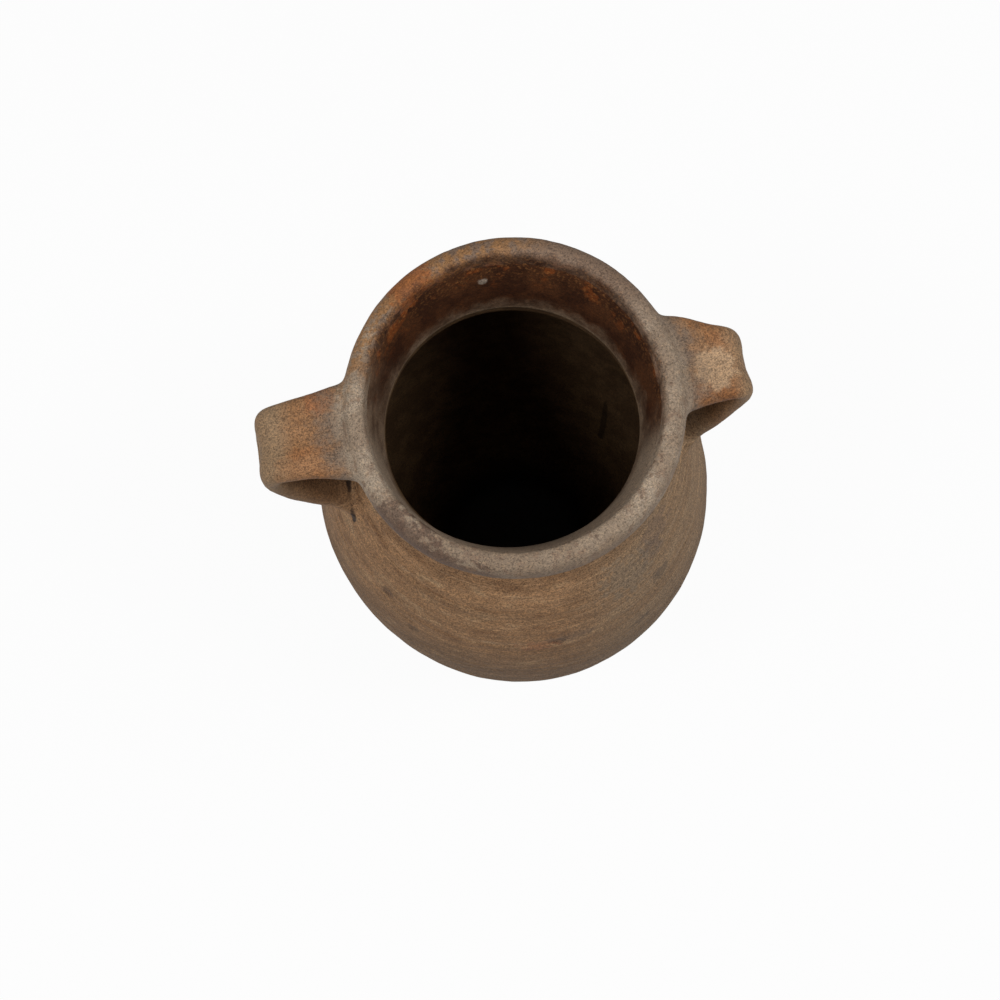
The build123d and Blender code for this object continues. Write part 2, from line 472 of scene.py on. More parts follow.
def throw_marks(piece):
    """Throwing ridges, the slow unevenness of hand-thrown clay and its finer lumps."""
    places = vertices_of(piece)
    normals = normals_of(piece)
    height = places[:, 2]
    radius = np.hypot(places[:, 0], places[:, 1])
    angle = np.arctan2(places[:, 1], places[:, 0])
    on_wall = 1 - fade(abs(radius - wall_radius(height)), 1.5 * MM, 4 * MM)
    on_wall = on_wall * (1 - fade(height, SHOULDER_Z - 6 * MM, SHOULDER_Z))
    climb = height + 1.3 * MM * np.sin(angle + 0.7)

    def ripple(pitch, shift=0.0):
        return np.sin(climb / (pitch * MM) * 2 * pi + shift)

    ridges = 0.16 * ripple(9.0) * (0.6 + 0.4 * ripple(41)) + 0.07 * ripple(3.7, 1.5 * np.sin(angle * 2))
    put_vertices(piece, places + normals * (ridges * on_wall * MM)[:, None])
    for size, strength in UNEVENNESS:
        texture = soft_texture(f"unevenness_{size}", size * MM)
        lumps = {"texture": texture, "strength": strength * MM, "mid_level": 0.5, "texture_coords": "LOCAL"}
        finish_with(piece, "DISPLACE", **lumps)


# Lumps and pits left in the clay: centre in millimetres, reach and height.
LUMPS = [
    ((-30, -67, 375), 3.0, 1.0), ((-38, 65, 380), 5.0, 0.7), ((-62, -44, 377), 5.0, 0.6),
    ((20, -74, 372), 4.0, 0.5), ((72, -16, 378), 4.0, 0.6), ((-76, -60, 263), 3.0, -0.8),
    ((-67, -77, 241), 2.6, -0.7), ((6, -98, 259), 3.5, -0.7), ((62, -57, 302), 5.0, 0.4),
    ((-40, 92, 250), 4.0, -0.7), ((96, 30, 160), 4.0, -0.8), ((-98, 30, 230), 3.5, 0.6),
]
# A drop of glaze that stands on the far side of the mouth.
GLAZE_DROP = (-3.5, 64.5, 361)


def press(piece, lumps):
    """Raises or sinks the clay's face smoothly round each given place."""
    places = vertices_of(piece)
    normals = normals_of(piece)
    for centre, reach, height in lumps:
        distance = np.linalg.norm(places - np.array(centre) * MM, axis=1)
        push = height * MM * np.exp(-((distance / (reach * MM)) ** 2))
        places = places + normals * push[:, None]
    put_vertices(piece, places)


# How the jar settled as it dried: sizes in millimetres, bearings in degrees round from +X.
BELLY_SWELL = 0.6
BELLY_OVAL, BELLY_BEARING = 1.6, -49
BELLY_SPREAD = 90
RIM_WIDENING, THROAT_OVAL, MOUTH_BEARING = 1.3, 0.9, -9
# How far the belly, the rim, and the throat beyond the rim's share, stand off the axis along X and Y.
BELLY_SHIFT = (-1.2, -1.0)
RIM_SHIFT = (1.1, -0.2)
THROAT_SHIFT = (-1.0, 0.3)
# The mouth's inner edge is pushed out by a hand: most at one bearing, and a little round another.
PUSH, PUSH_BEARING, PUSH_SPREAD = 3.3, -147, 38
NEAR_PUSH, NEAR_BEARING = 1.0, -85
CREST_HOLD = 0.75


def settle(piece):
    """The jar's slight lean and out-of-round, the same for every piece."""
    places = vertices_of(piece)
    x, y, height = places.T
    radius = np.hypot(x, y)
    angle = np.arctan2(y, x)
    from_axis = np.clip(radius / (60 * MM), 0, 1)
    belly = np.exp(-((height - BELLY_Z) / (BELLY_SPREAD * MM)) ** 2)
    upper = fade(height, BELLY_Z, NECK_Z)
    throat = 1 - fade(radius, THROAT_RADIUS + 1 * MM, THROAT_RADIUS + 9 * MM)

    belly_swell = BELLY_SWELL + BELLY_OVAL * np.cos(2 * (angle - radians(BELLY_BEARING)))
    rim_swell = RIM_WIDENING * np.sin(angle - radians(MOUTH_BEARING)) ** 2
    throat_swell = THROAT_OVAL * np.cos(2 * (angle - radians(MOUTH_BEARING)))
    mouth_swell = rim_swell + (throat_swell - rim_swell) * throat
    swell = belly_swell * belly * MM * from_axis + upper * mouth_swell * MM

    # How far out the mouth's inner edge reaches at each height.
    limit = np.interp(height, [345 * MM, 362 * MM], [71 * MM, 80 * MM])
    mouth_edge = (1 - fade(radius, limit - 10 * MM, limit)) * fade(height, 318 * MM, 334 * MM)
    off_push = (np.degrees(angle) - PUSH_BEARING + 180) % 360 - 180
    push = PUSH * np.exp(-((off_push / PUSH_SPREAD) ** 2))
    push = push + NEAR_PUSH * np.clip(np.cos(angle - radians(NEAR_BEARING)), 0, 1)
    push = push * (1 - CREST_HOLD * fade(height, 340 * MM, 374 * MM))
    swell = swell + mouth_edge * push * from_axis * MM

    lean_x, lean_y = [
        (low * belly * (1 - upper) + (high + inner * throat) * upper) * MM
        for low, high, inner in zip(BELLY_SHIFT, RIM_SHIFT, THROAT_SHIFT)
    ]
    x = x + swell * np.cos(angle) + lean_x
    y = y + swell * np.sin(angle) + lean_y
    put_vertices(piece, np.column_stack((x, y, height)))


def place(piece, slot, *nodes):
    """Last step for each finished piece: settle, smooth shading, body, and hiding the nodes it stands for.
    Gives back the piece with its slot.
    """
    settle(piece)
    pick(piece)
    bpy.ops.object.shade_smooth_by_angle(angle=SMOOTH_UNDER)
    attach(piece, "root")
    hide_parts(*nodes)
    return piece, slot


# How far each half runs past the belly until its face is worked.
OVERLAP = 12 * MM


def throw_and_join():
    """The jar in two halves of clay: the lower, and the upper with its handles luted on."""
    upper = outer_clay()
    lower = copy_of(upper, "lower_clay")
    cut_level(lower, BELLY_Z + OVERLAP, keep_above=False)
    cut_level(upper, BELLY_Z - OVERLAP, keep_above=True)
    straps = [strap(side) for side in ("left", "right")]
    pick(upper, *straps)
    bpy.ops.object.join()
    upper.name = upper.data.name = "upper_clay"
    finish_with(upper, "REMESH", mode="VOXEL", voxel_size=CLAY_GRID, use_smooth_shade=True)
    finish_with(upper, "SMOOTH", factor=0.5, iterations=4)
    lute(upper)
    for half in (upper, lower):
        throw_marks(half)
        press(half, LUMPS)
    cut_level(upper, BELLY_Z, keep_above=True)
    cut_level(lower, BELLY_Z, keep_above=False)
    air = hollow()
    carve(upper, air, "DIFFERENCE")
    carve(lower, air, "DIFFERENCE")
    discard(air)
    return lower, upper


def handle_pieces(handles, side):
    """Parts one handle into its strap and the two collars of clay at its ends."""
    x_low, x_high = (0, CLEAR) if side == "right" else (-CLEAR, 0)
    whole = part_of(handles, f"{side}_whole", block(250 * MM, ABOVE_Z, x_low, x_high))
    rim_zone = jar_envelope("rim_zone", COLLAR_LENGTH, HANDLE_MIDDLE_Z, ABOVE_Z)
    shoulder_zone = jar_envelope("shoulder_zone", COLLAR_LENGTH, 240 * MM, HANDLE_MIDDLE_Z)
    rim_end = part_of(whole, f"{side}_rim_lute", rim_zone, keep_tool=True)
    shoulder_end = part_of(whole, f"{side}_shoulder_lute", shoulder_zone, keep_tool=True)
    carve(whole, rim_zone, "DIFFERENCE")
    carve(whole, shoulder_zone, "DIFFERENCE")
    discard(rim_zone, shoulder_zone)
    whole.name = whole.data.name = f"{side}_strap"
    return [
        place(whole, "handle_clay", f"{side}_handle"),
        place(rim_end, "collar_clay", f"{side}_handle_rim_collar"),
        place(shoulder_end, "collar_clay", f"{side}_handle_shoulder_collar"),
    ]


def build_jar():
    lower, upper = throw_and_join()
    envelope = jar_envelope("envelope", 1.6 * MM, 150 * MM, ABOVE_Z)
    handles = carve(copy_of(upper, "handles"), envelope, "DIFFERENCE")
    carve(upper, envelope, "INTERSECT")
    discard(envelope)
    pieces = handle_pieces(handles, "left") + handle_pieces(handles, "right")
    bands = [
        (lower, "foot_slab", -5 * MM, BASE_TOP, "body_clay", "base_disc"),
        (lower, "lower_wall", BASE_TOP, BELLY_Z + 5 * MM, "body_clay", "lower_body"),
        (upper, "upper_wall", BELLY_Z - 5 * MM, SHOULDER_Z, "body_clay", "upper_body"),
        (upper, "neck_ring", SHOULDER_Z, NECK_Z, "neck_clay", "neck_collar"),
        (upper, "rolled_rim", NECK_Z, TOP_Z + 10 * MM, "rim_clay", "rim"),
    ]
    for half, name, z_low, z_high, slot, node in bands:
        pieces.append(place(part_of(half, name, block(z_low, z_high)), slot, node))
    pieces.append(place(glaze_coat(), "inner_glaze", "glaze_lining"))
    discard(lower, upper, handles)
    return pieces


# ---------------------------------------------------------------- finishes
class Bench:
    """Adds and joins nodes in one material or node group."""

    def __init__(self, tree):
        self.tree = tree

    def add(self, kind, inputs=None, **settings):
        node = self.tree.nodes.new(kind)
        for key, value in settings.items():
            setattr(node, key, value)
        for key, value in (inputs or {}).items():
            self.feed(node.inputs[key], value)
        return node

    def feed(self, socket, value):
        if isinstance(value, bpy.types.NodeSocket):
            self.tree.links.new(value, socket)
        else:
            socket.default_value = value

    def maths(self, operation, *values, clamp=False):
        node = self.add("ShaderNodeMath", dict(enumerate(values)), operation=operation, use_clamp=clamp)
        return node.outputs[0]

    def times(self, first, *others):
        for other in others:
            first = self.maths("MULTIPLY", first, other)
        return first

    def plus(self, first, second):
        return self.maths("ADD", first, second)

    def minus(self, first, second):
        return self.maths("SUBTRACT", first, second)

    def vectors(self, operation, *values):
        return self.add("ShaderNodeVectorMath", dict(enumerate(values)), operation=operation).outputs

    def slope(self, value, start, end):
        """0 at start and 1 at end, eased between. start may be the larger."""
        bounds = {"Value": value, "From Min": start, "From Max": end}
        return self.add("ShaderNodeMapRange", bounds, interpolation_type="SMOOTHSTEP").outputs[0]

    def between(self, share, first, second, blend="MIX"):
        """A colour that goes from the first to the second as share goes from 0 to 1."""
        node = self.add("ShaderNodeMix", data_type="RGBA", blend_type=blend)
        self.feed(node.inputs[0], share)
        self.feed(node.inputs[6], first)
        self.feed(node.inputs[7], second)
        return node.outputs[2]

    def two_tone(self, value, first, second, start=0.40, end=0.62):
        """A colour that drifts from one chart colour to another as a noise goes from start to end."""
        return self.between(self.slope(value, start, end), colour(*first), colour(*second))

    def stain_and_shade(self, base, chart, mask, strength=1.0):
        """The base with a chart colour laid over it where the mask is, at a given strength: stains, and in
        places painted shade.
        """
        share = mask if strength == 1.0 else self.times(mask, strength)
        return self.between(share, base, colour(*chart))

    def noise(self, vector, size, detail=2.0, roughness=0.5, stretch=None):
        """Cloudy noise whose lumps are about size across, stretched by a factor for each axis."""
        if stretch:
            vector = self.add("ShaderNodeMapping", {"Vector": vector, "Scale": stretch}).outputs[0]
        scale = {"Vector": vector, "Scale": 1 / size, "Detail": detail, "Roughness": roughness}
        return self.add("ShaderNodeTexNoise", scale).outputs[0]

    def wobble(self, vector, scale, detail, width):
        """Noise centred on 0, for ragged edges."""
        edge = self.add("ShaderNodeTexNoise", {"Vector": vector, "Scale": scale, "Detail": detail})
        return self.times(self.minus(edge.outputs[0], 0.5), width)

    def use(self, group, **inputs):
        node = self.add("ShaderNodeGroup")
        node.node_tree = group
        for key, value in inputs.items():
            self.feed(node.inputs[key.replace("_", " ").title()], value)
        return node.outputs


def colour(red, green, blue):
    """A finish colour from its 0 to 255 chart values."""
    chart = (red / 255, green / 255, blue / 255)
    return tuple(c / 12.92 if c <= 0.04045 else ((c + 0.055) / 1.055) ** 2.4 for c in chart) + (1.0,)


def new_group(name, inputs, outputs):
    """An empty node group and a bench to build it on. An input is a vector, or a number from its start."""
    group = bpy.data.node_groups.new(name, "ShaderNodeTree")
    for socket, start in {"Vector": None, **inputs}.items():
        kind = "NodeSocketVector" if start is None else "NodeSocketFloat"
        made = group.interface.new_socket(socket, in_out="INPUT", socket_type=kind)
        if start is not None:
            made.default_value = start
    for socket in outputs:
        group.interface.new_socket(socket, in_out="OUTPUT", socket_type="NodeSocketFloat")
    bench = Bench(group)
    given = group.nodes.new("NodeGroupInput").outputs
    result = group.nodes.new("NodeGroupOutput").inputs
    return group, bench, given, result


# The finishes' own directions, Right and Far, are X and Y turned a little: the turn's cosine and sine.
FINISH_TURN = (0.987, 0.159)


def place_on_jar():
    """Where a point lies: its radius, its height, and how far it is to the right and the far side."""
    group, bench, given, result = new_group("place_on_jar", {}, ["Radius", "Height", "Right", "Far"])
    cosine, sine = FINISH_TURN
    x, y, z = bench.add("ShaderNodeSeparateXYZ", {0: given["Vector"]}).outputs
    squares = bench.plus(bench.times(x, x), bench.times(y, y))
    bench.feed(result["Radius"], bench.maths("SQRT", squares))
    bench.feed(result["Height"], z)
    bench.feed(result["Right"], bench.minus(bench.times(x, cosine), bench.times(y, sine)))
    bench.feed(result["Far"], bench.plus(bench.times(y, cosine), bench.times(x, sine)))
    return group


def clay_grain():
    """Fine grit in the fired clay: a value about one half that darkens and lightens grain by grain."""
    sizes = {"Size": 0.0006, "Contrast": 1.0}
    group, bench, given, result = new_group("clay_grain", sizes, ["Grain", "Height"])
    scale = bench.maths("DIVIDE", 1.0, given["Size"])
    cells = bench.add("ShaderNodeTexVoronoi", {"Vector": given["Vector"], "Scale": scale}, feature="F1")
    cell_value = bench.add("ShaderNodeSeparateColor", {0: cells.outputs["Color"]}).outputs[0]
    coarse = {"Vector": given["Vector"], "Scale": bench.times(scale, 0.42), "Detail": 4.0}
    lumps = bench.add("ShaderNodeTexNoise", coarse).outputs[0]
    mixed = bench.plus(bench.times(cell_value, 0.4), bench.times(lumps, 0.6))
    grain = bench.plus(bench.times(bench.minus(mixed, 0.5), given["Contrast"]), 0.5)
    bench.feed(result["Grain"], grain)
    bench.feed(result["Height"], mixed)
    return group


def patch():
    """A ragged patch round a centre: 1 inside, 0 outside."""
    sizes = {"Centre": None, "Reach": 0.01, "Ragged": 0.5, "Flatten": 1.0}
    group, bench, given, result = new_group("patch", sizes, ["Mask"])
    away = bench.vectors("SUBTRACT", given["Vector"], given["Centre"])[0]
    x, y, z = bench.add("ShaderNodeSeparateXYZ", {0: away}).outputs
    squeezed = {0: x, 1: y, 2: bench.times(z, given["Flatten"])}
    distance = bench.vectors("LENGTH", bench.add("ShaderNodeCombineXYZ", squeezed).outputs[0])["Value"]
    share = bench.maths("DIVIDE", distance, given["Reach"])
    wobble = bench.wobble(given["Vector"], 260.0, 4.0, bench.times(given["Ragged"], 3.0))
    bench.feed(result["Mask"], bench.slope(bench.plus(share, wobble), 1.15, 0.75))
    return group


def streak():
    """A ragged streak along a straight run: 1 inside, 0 outside."""
    sizes = {"Start": None, "Run": None, "Reach": 0.002, "Flatten": 1.0}
    group, bench, given, result = new_group("streak", sizes, ["Mask"])
    vectors = bench.vectors
    squeeze = bench.add("ShaderNodeCombineXYZ", {0: 1.0, 1: 1.0, 2: given["Flatten"]}).outputs[0]
    run = vectors("MULTIPLY", given["Run"], squeeze)[0]
    away = vectors("MULTIPLY", vectors("SUBTRACT", given["Vector"], given["Start"])[0], squeeze)[0]
    reached, length = [vectors("DOT_PRODUCT", end, run)["Value"] for end in (away, run)]
    share = bench.maths("DIVIDE", reached, length, clamp=True)
    along = bench.add("ShaderNodeVectorMath", {0: run, "Scale": share}, operation="SCALE").outputs[0]
    distance = vectors("LENGTH", vectors("SUBTRACT", away, along)[0])["Value"]
    wobble = bench.wobble(given["Vector"], 400.0, 3.0, 0.8)
    across = bench.plus(bench.maths("DIVIDE", distance, given["Reach"]), wobble)
    bench.feed(result["Mask"], bench.slope(across, 1.2, 0.7))
    return group


def wheel_lines():
    """Lines drawn round the clay by the potter's fingers and sponge."""
    group, bench, given, result = new_group("wheel_lines", {}, ["Lines", "Height"])
    broad = bench.noise(given["Vector"], 0.030, 2.0, stretch=(0.25, 0.25, 3.0))
    fine = bench.noise(given["Vector"], 0.010, 3.0, 0.6, stretch=(0.3, 0.3, 10.0))
    both = bench.plus(bench.times(broad, 0.35), bench.times(fine, 0.65))
    bench.feed(result["Lines"], bench.slope(both, 0.40, 0.60))
    bench.feed(result["Height"], fine)
    return group


def mm_point(*place):
    return tuple(c * MM for c in place)


# Marks in the clay: centre in millimetres, reach, raggedness, upright squeeze, colour and strength.
BODY_MARKS = [
    ((-76, -60, 263), 5, 0.5, 1.0, (88, 66, 48), 0.75),
    ((-67, -77, 241), 4, 0.5, 1.0, (84, 66, 52), 0.7),
    ((6, -98, 259), 5, 0.8, 1.4, (62, 46, 34), 0.8),
    ((-4, -98, 257), 11, 0.9, 2.0, (128, 88, 62), 0.55),
    ((14, -97, 262), 12, 0.9, 2.2, (94, 76, 62), 0.5),
    ((62, -57, 302), 11, 0.9, 0.9, (104, 86, 72), 0.55),
    ((59, -65, 294), 8, 0.9, 0.9, (98, 82, 70), 0.5),
    ((63, -72, 268), 7, 0.8, 1.2, (86, 72, 60), 0.65),
    ((53, -89, 232), 6, 0.8, 1.6, (84, 70, 58), 0.6),
    ((44, -74, 292), 16, 0.8, 0.9, (108, 96, 82), 0.5),
    ((-38, -62, 322), 9, 0.8, 2.0, (104, 78, 56), 0.4),
    ((-96, 40, 150), 22, 0.8, 1.5, (104, 84, 66), 0.5),
    ((30, 98, 170), 26, 0.8, 1.6, (142, 114, 86), 0.5),
    ((-40, 92, 250), 16, 0.8, 1.4, (108, 78, 54), 0.5),
    ((92, 48, 130), 20, 0.8, 1.4, (96, 80, 66), 0.5),
    ((-30, -84, 90), 18, 0.8, 1.4, (100, 80, 62), 0.45),
]
# Four worn places along the near left of the rim, then a burnt one on its far side.
RIM_MARKS = [
    ((-64, -46, 376), 9, 0.9, 1.0, (82, 64, 53), 0.75),
    ((-56, -57, 374), 11, 0.9, 1.0, (82, 64, 53), 0.75),
    ((-44, -69, 371), 10, 0.9, 1.0, (82, 64, 53), 0.75),
    ((-28, -76, 368), 9, 0.9, 1.0, (82, 64, 53), 0.75),
    ((-40, 66, 379), 12, 0.6, 1.0, (126, 76, 40), 0.85),
]
# Flashed edges on top of the handles.
HANDLE_MARKS = [
    ((94, -15, 371), 13, 0.35, 1.0, (108, 68, 37), 0.75),
    ((-101, -18, 370), 15, 0.35, 1.0, (120, 80, 48), 0.4),
    ((98, 1, 372), 11, 0.35, 1.0, (152, 128, 102), 0.8),
    ((-90, 17, 372), 8, 0.35, 1.0, (122, 70, 38), 0.5),
]
# A painted highlight on the drop of glaze.
DROP_HIGHLIGHT_MARKS = [(GLAZE_DROP, 3.0, 0.5, 1.0, (140, 128, 116), 0.8)]
# Streaks: start and run in millimetres, reach, upright squeeze, colour and strength. The first is the
# painted shadow in the cleft beside the left handle's foot, the second a drip of glaze down the inside.
CLEFT_SHADOW = ((-85.7, -8, 297), (-0.6, -16, -8), 1.7, 0.2, (34, 22, 15), 0.95)
DRIP = ((66, 59, 122), (-4.5, -12, -40), 2.2, 1.0, (34, 24, 16), 0.7)


class Finish(Bench):
    """One of the jar's finishes. They all share the same node groups, so that their borders match."""

    def __init__(self, name, groups):
        self.material = bpy.data.materials.new(name)
        self.material.use_nodes = True
        super().__init__(self.material.node_tree)
        self.shader = self.tree.nodes["Principled BSDF"]
        self.where = self.add("ShaderNodeTexCoord").outputs["Object"]
        self.groups = groups
        self.spot = self.on_jar("place_on_jar")

    def on_jar(self, group, **inputs):
        return self.use(self.groups[group], vector=self.where, **inputs)

    def cloud(self, size, detail=2.0, roughness=0.5, stretch=None):
        return self.noise(self.where, size, detail, roughness, stretch)

    def marks(self, base, marks):
        for centre, reach, ragged, squeeze, tint, strength in marks:
            spread = {"centre": mm_point(*centre), "reach": reach * MM, "ragged": ragged, "flatten": squeeze}
            mask = self.on_jar("patch", **spread)["Mask"]
            base = self.stain_and_shade(base, tint, mask, strength)
        return base

    def streaked(self, base, mark):
        start, run, reach, squeeze, tint, strength = mark
        spread = {"start": mm_point(*start), "run": mm_point(*run), "reach": reach * MM, "flatten": squeeze}
        mask = self.on_jar("streak", **spread)["Mask"]
        return self.stain_and_shade(base, tint, mask, strength)

    def tan_clay(self):
        """Bare tan clay: warm and cool drifts, wheel lines, greyer to the right, with painted shade
        darkening it near the foot and painted shadow in the cleft by the left handle.
        """
        drift = self.cloud(0.050, 3.0, 0.6)
        patches = self.cloud(0.014, 4.0, 0.65, stretch=(0.7, 0.7, 1.6))
        lines = self.on_jar("wheel_lines")
        base = self.two_tone(drift, (122, 93, 66), (136, 105, 76), 0.38, 0.62)
        base = self.stain_and_shade(base, (108, 79, 54), self.slope(patches, 0.52, 0.68))
        base = self.stain_and_shade(base, (142, 116, 88), self.slope(patches, 0.46, 0.32))
        right_side = self.plus(self.spot["Right"], self.times(drift, 0.06))
        base = self.stain_and_shade(base, (124, 106, 85), self.slope(right_side, 0.048, 0.098), 0.75)
        # Painted shade: the clay goes darker and greyer in patches towards the foot.
        painted_low_shade = self.times(self.slope(self.spot["Height"], 0.27, 0.20), self.slope(patches, 0.28, 0.56))
        base = self.stain_and_shade(base, (108, 89, 69), painted_low_shade, 0.6)
        base = self.stain_and_shade(base, (98, 73, 50), lines["Lines"], 0.55)
        scratches = self.cloud(0.006, 3.0, 0.7, stretch=(0.12, 0.12, 8.0))
        base = self.stain_and_shade(base, (156, 127, 96), self.slope(scratches, 0.56, 0.66), 0.45)
        # Painted shade: darker still towards the bottom.
        base = self.stain_and_shade(base, (70, 54, 40), self.slope(self.spot["Height"], 0.255, 0.205), 0.30)
        base = self.marks(base, BODY_MARKS)
        # The dark streak in the cleft is painted shadow.
        return self.streaked(base, CLEFT_SHADOW), lines["Height"]

    def lime_crust(self):
        """Grey-beige lime crust of the rim, with a mauve tint and painted shade on the far side, painted
        shade on the near side, brown wear and a golden edge.
        """
        right, far, height = self.spot["Right"], self.spot["Far"], self.spot["Height"]
        cloud = self.cloud(0.020, 4.0, 0.6)
        fine = self.cloud(0.0045, 3.0, 0.6)
        base = self.two_tone(cloud, (122, 106, 90), (138, 124, 108))
        # Mauve tint and painted shade on the far side.
        far_side = self.slope(self.plus(far, self.times(cloud, 0.02)), 0.030, 0.075)
        base = self.stain_and_shade(base, (100, 80, 66), far_side, 0.85)
        # Painted shade on the near side.
        base = self.stain_and_shade(base, (112, 96, 80), self.slope(far, -0.040, -0.072), 0.6)
        base = self.stain_and_shade(base, (108, 88, 73), self.slope(fine, 0.52, 0.66), 0.7)
        far_left = self.slope(self.minus(far, self.times(right, 0.8)), 0.055, 0.085)
        golden = self.times(far_left, self.slope(fine, 0.38, 0.56))
        base = self.stain_and_shade(base, (128, 92, 56), golden, 0.8)
        near = self.slope(far, -0.040, -0.060)
        low = self.slope(height, TOP_Z - 12 * MM, TOP_Z - 17 * MM)
        mid = self.slope(self.maths("ABSOLUTE", self.minus(right, 0.030)), 0.034, 0.018)
        gilt = self.times(near, low, mid, self.slope(fine, 0.36, 0.56))
        base = self.stain_and_shade(base, (140, 100, 58), gilt)
        lower = self.plus(height, self.runs(0.008))
        lower = self.slope(lower, TOP_Z - 3 * MM, TOP_Z - 8 * MM)
        stained = self.times(near, lower, self.slope(right, -0.002, -0.030))
        base = self.stain_and_shade(base, (78, 58, 48), stained, 0.85)
        base = self.marks(base, RIM_MARKS)
        roots = self.slope(self.spot["Radius"], RIM_RADIUS - 3 * MM, RIM_RADIUS + 5 * MM)
        return self.stain_and_shade(base, (98, 82, 69), roots, 0.9)

    def iron_flash(self):
        """Orange-brown clay of the handles, with golden grit, painted shade greying the outer ends where the
        straps turn down, and painted shade darkening the straps below their tops.
        """
        cloud = self.cloud(0.016, 4.0, 0.6)
        rust = self.cloud(0.011, 3.0, 0.65)
        base = self.two_tone(cloud, (120, 87, 58), (134, 101, 72), 0.40, 0.60)
        base = self.stain_and_shade(base, (122, 78, 44), self.slope(rust, 0.50, 0.68), 0.55)
        # Painted shade: greyer where the strap turns down at its outer end.
        base = self.stain_and_shade(base, (120, 102, 80), self.slope(self.spot["Radius"], 0.102, 0.114), 0.7)
        # Painted shade: darker down the straps, under their tops.
        base = self.stain_and_shade(base, (108, 82, 58), self.slope(self.spot["Height"], 0.356, 0.335), 0.7)
        return self.marks(base, HANDLE_MARKS)

    def crust_cover(self):
        """Where the lime crust lies: on the rim and a little way out on the handles."""
        ragged = self.times(self.minus(self.cloud(0.008, 5.0, 0.7), 0.5), 0.04)
        on_rim = self.slope(self.plus(self.spot["Height"], self.times(ragged, 0.15)), 0.3585, 0.3612)
        near_rim = self.slope(self.plus(self.spot["Radius"], ragged), 0.099, 0.082)
        return self.times(on_rim, near_rim)

    def runs(self, reach):
        """The ragged wandering of a glaze's edge, reach to either side."""
        wander = self.cloud(0.010, 4.0, 0.65)
        return self.times(self.minus(wander, 0.5), 2 * reach)

    def funnel_side(self):
        """Where the dark glaze reaches the mouth's edge: the far side and both flanks."""
        spread = self.plus(self.spot["Far"], self.runs(0.016))
        spread = self.plus(spread, self.times(self.spot["Right"], 0.22))
        return self.slope(spread, -0.024, 0.022)

    def dark_glaze(self):
        """The red-brown glaze under the mouth's edge, with rusty and golden flecks towards the edge and a
        painted highlight on the drop of glaze.
        """
        cloud = self.cloud(0.014, 4.0, 0.6)
        fleck = self.cloud(0.0016, 3.0, 0.7)
        base = self.two_tone(cloud, (48, 25, 12), (66, 38, 20))
        rust = self.slope(self.cloud(0.010, 3.0, 0.6), 0.52, 0.64)
        high = self.slope(self.plus(self.spot["Height"], self.runs(0.008)), 0.350, 0.376)
        base = self.stain_and_shade(base, (104, 54, 22), self.times(rust, high))
        base = self.stain_and_shade(base, (132, 90, 52), self.times(self.slope(fleck, 0.52, 0.62), high), 0.5)
        return self.marks(base, DROP_HIGHLIGHT_MARKS)

    def gritty(self, base, contrast, size):
        """The finish with its grit: dark and light grains over the colour."""
        grit = self.on_jar("clay_grain", size=size, contrast=contrast)
        dark = self.times(self.slope(grit["Grain"], 0.50, 0.22), 0.55)
        light = self.times(self.slope(grit["Grain"], 0.52, 0.80), 0.5)
        shaded = self.between(dark, base, (0.20, 0.15, 0.11, 1), "MULTIPLY")
        return self.between(light, shaded, (1.9, 1.75, 1.5, 1), "MULTIPLY"), grit["Height"]

    def complete(self, base, roughness, sheen, heights, depth):
        """Gives the shader its colour, its sheen and the bumps of the surface."""
        shader = self.shader
        bump = self.add("ShaderNodeBump", {"Height": heights, "Strength": depth, "Distance": 0.4 * MM})
        shader.inputs["Roughness"].default_value = roughness
        shader.inputs["Specular IOR Level"].default_value = sheen
        self.feed(shader.inputs["Base Color"], base)
        self.feed(shader.inputs["Normal"], bump.outputs[0])

    def outer_clay(self, grit_contrast, roughness, handle=False):
        """Bare clay, or a handle's flashed clay, with crust on the rim and glaze at the mouth's edge."""
        bare, line_height = self.tan_clay()
        if handle:
            out = self.plus(self.spot["Radius"], self.times(self.spot["Height"], 0.9))
            bare = self.between(self.slope(out, 0.374, 0.392), bare, self.iron_flash())
        cover = self.crust_cover()
        base = self.between(cover, bare, self.lime_crust())
        edge = self.plus(self.spot["Radius"], self.runs(0.005))
        inside = self.times(
            self.slope(edge, CREST_RADIUS + 4.0 * MM, CREST_RADIUS - 2.5 * MM),
            self.slope(self.spot["Height"], TOP_Z - 12 * MM, TOP_Z - 9 * MM),
            self.funnel_side(),
        )
        base = self.between(inside, base, self.dark_glaze())
        base, grit_height = self.gritty(base, grit_contrast, 0.5 * MM)
        heights = self.plus(self.times(line_height, 0.5), self.times(grit_height, 0.5))
        self.complete(base, roughness, 0.22, heights, 0.8)
        return self.material

    def inner_glaze(self):
        """Dark iron glaze: red-brown under the mouth's edge, then grey-brown, and brown inside, with painted
        shade that takes it near black towards the floor.
        """
        far, height = self.spot["Far"], self.spot["Height"]
        cloud = self.cloud(0.014, 4.0, 0.6)
        funnel = self.two_tone(cloud, (74, 56, 42), (104, 86, 70))
        high = self.plus(height, self.runs(0.014))
        far_side = self.times(self.slope(far, -0.01, 0.04), 0.010)
        band = self.slope(self.plus(high, far_side), 0.342, 0.356)
        band = self.times(band, self.funnel_side())
        funnel = self.between(band, funnel, self.dark_glaze())
        lip = self.maths("ABSOLUTE", self.minus(height, THROAT_LIP_Z + 0.6 * MM))
        funnel = self.stain_and_shade(funnel, (120, 102, 82), self.slope(lip, 0.0016, 0.0004), 0.5)
        crusted = self.times(self.slope(high, 0.334, 0.352), self.slope(far, -0.004, -0.026))
        funnel = self.stain_and_shade(funnel, (126, 110, 94), crusted)
        dark = self.two_tone(cloud, (74, 55, 37), (90, 69, 47))
